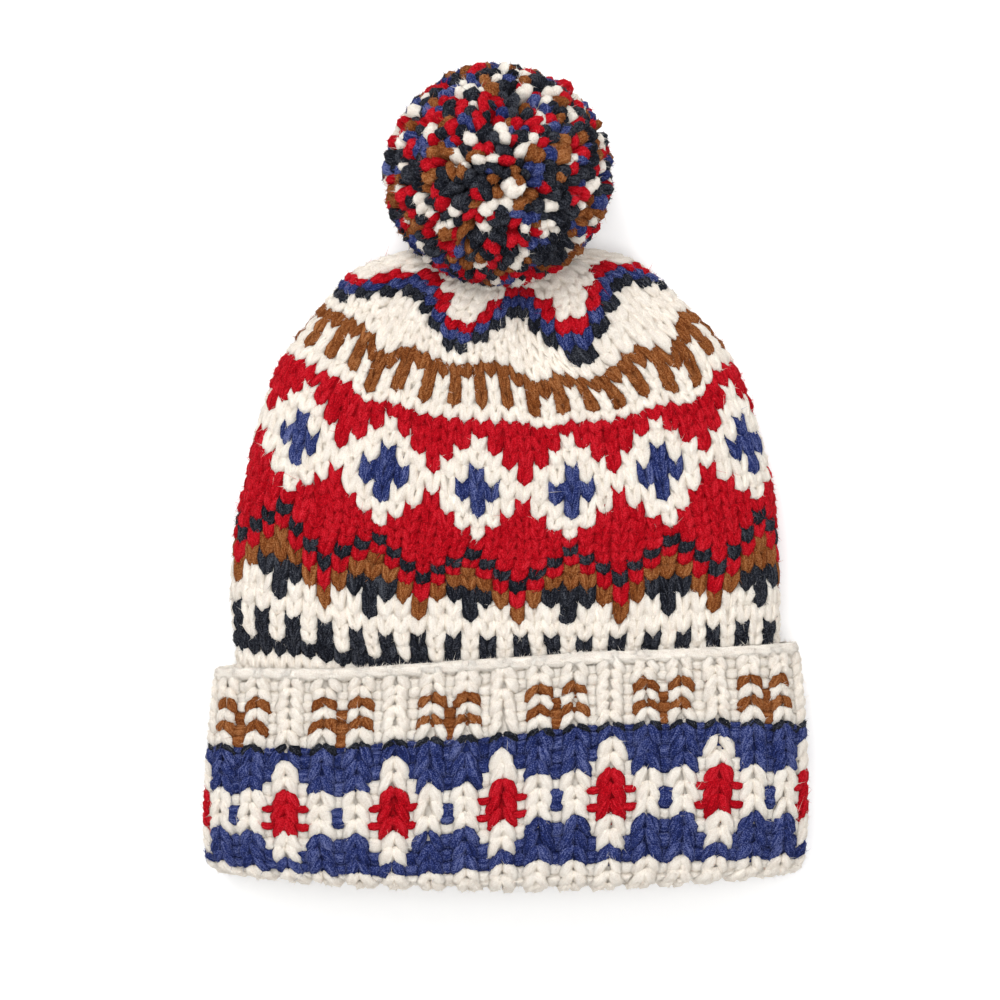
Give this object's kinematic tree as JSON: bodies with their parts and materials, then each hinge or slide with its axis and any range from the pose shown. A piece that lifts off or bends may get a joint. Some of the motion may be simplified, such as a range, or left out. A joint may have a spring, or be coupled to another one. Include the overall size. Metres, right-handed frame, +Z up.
{
  "type": "pompom beanie",
  "caption": "Chunky knitted double cuff beanie with a Fair Isle pattern, a gathered crown and a round pompom, lying flat on its back.",
  "frame": {"origin": "middle of the bounding box, on the surface that the hat lies on", "axes": "+Z up from the surface through the hat's front, +Y from the cuff towards the pompom, +X across the hat to the right as the front is seen"},
  "size_m": [0.2457, 0.3331, 0.0877],
  "materials": {
    "patterned_wool": "matte chunky wool in cream, red, blue, brown and charcoal stitches",
    "rib_wool": "matte chunky ribbed wool in cream, blue, red, brown and charcoal stitches",
    "pompom_yarn": "matte trimmed wool ends in mixed colours"
  },
  "bodies": {
    "root": {"knit_crown": "patterned_wool", "turned_cuff": "rib_wool", "pompom": "pompom_yarn"}
  },
  "joints": []
}
